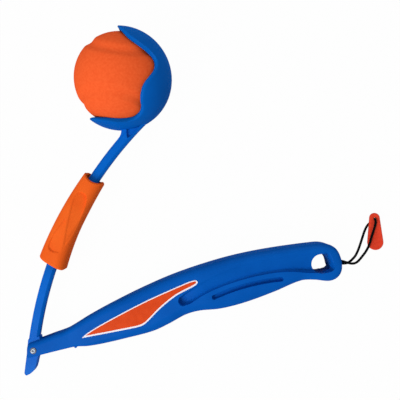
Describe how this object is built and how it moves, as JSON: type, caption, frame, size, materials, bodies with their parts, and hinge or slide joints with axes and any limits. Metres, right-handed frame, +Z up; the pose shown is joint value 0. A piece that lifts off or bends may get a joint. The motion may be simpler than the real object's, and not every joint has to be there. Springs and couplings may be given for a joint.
{
  "type": "folding dog ball launcher",
  "caption": "Folding ball launcher for dogs: moulded grip with hang hole, bowed arm on a rivet hinge, sliding lock sleeve, hooded cup holding a rubber ball, and a cord lanyard with a pull tab.",
  "frame": {"origin": "on the floor, under the middle of the launcher's box as it lies on its side, the lanyard left out", "axes": "+X along the handle from the hinge to the butt, +Y from the handle towards the cup, +Z up"},
  "size_m": [0.2685, 0.2112, 0.0635],
  "materials": {
    "grip_blue": "satin moulded plastic",
    "arm_blue": "satin moulded plastic",
    "cup_blue": "satin moulded plastic",
    "sleeve_orange": "satin moulded plastic",
    "ball_orange": "matte, finely grained rubber",
    "rivet_metal": "plated steel",
    "label_print": "printed film with a white border",
    "cord_black": "braided cord",
    "tab_red": "soft moulded rubber"
  },
  "bodies": {
    "grip": {"handle": "grip_blue", "hinge_rivet": "rivet_metal", "rivet_washer": "rivet_metal", "label_front": "label_print", "label_back": "label_print", "lanyard_cord": "cord_black", "lanyard_knot": "cord_black", "pull_tab": "tab_red"},
    "arm": {"throwing_arm": "arm_blue", "ball_cup": "cup_blue"},
    "sleeve": {"lock_sleeve": "sleeve_orange"},
    "ball": {"ball": "ball_orange"}
  },
  "joints": [
    {"name": "arm_fold", "type": "hinge", "parent": "grip", "child": "arm", "pos_m": [-0.10328, -0.08953, 0.01195], "axis": [0, -0.1222, 0.9925], "range_deg": [-37, 112]},
    {"name": "sleeve_slide", "type": "hinge", "parent": "arm", "child": "sleeve", "pos_m": [0.13935, -0.19026, -0.00045], "axis": [0, -0.1222, 0.9925], "range_deg": [-6, 3.5]},
    {"name": "ball_out", "type": "slide", "parent": "arm", "child": "ball", "axis": [-0.8288, 0.5553, 0.0683], "range_m": [0, 0.075]}
  ]
}
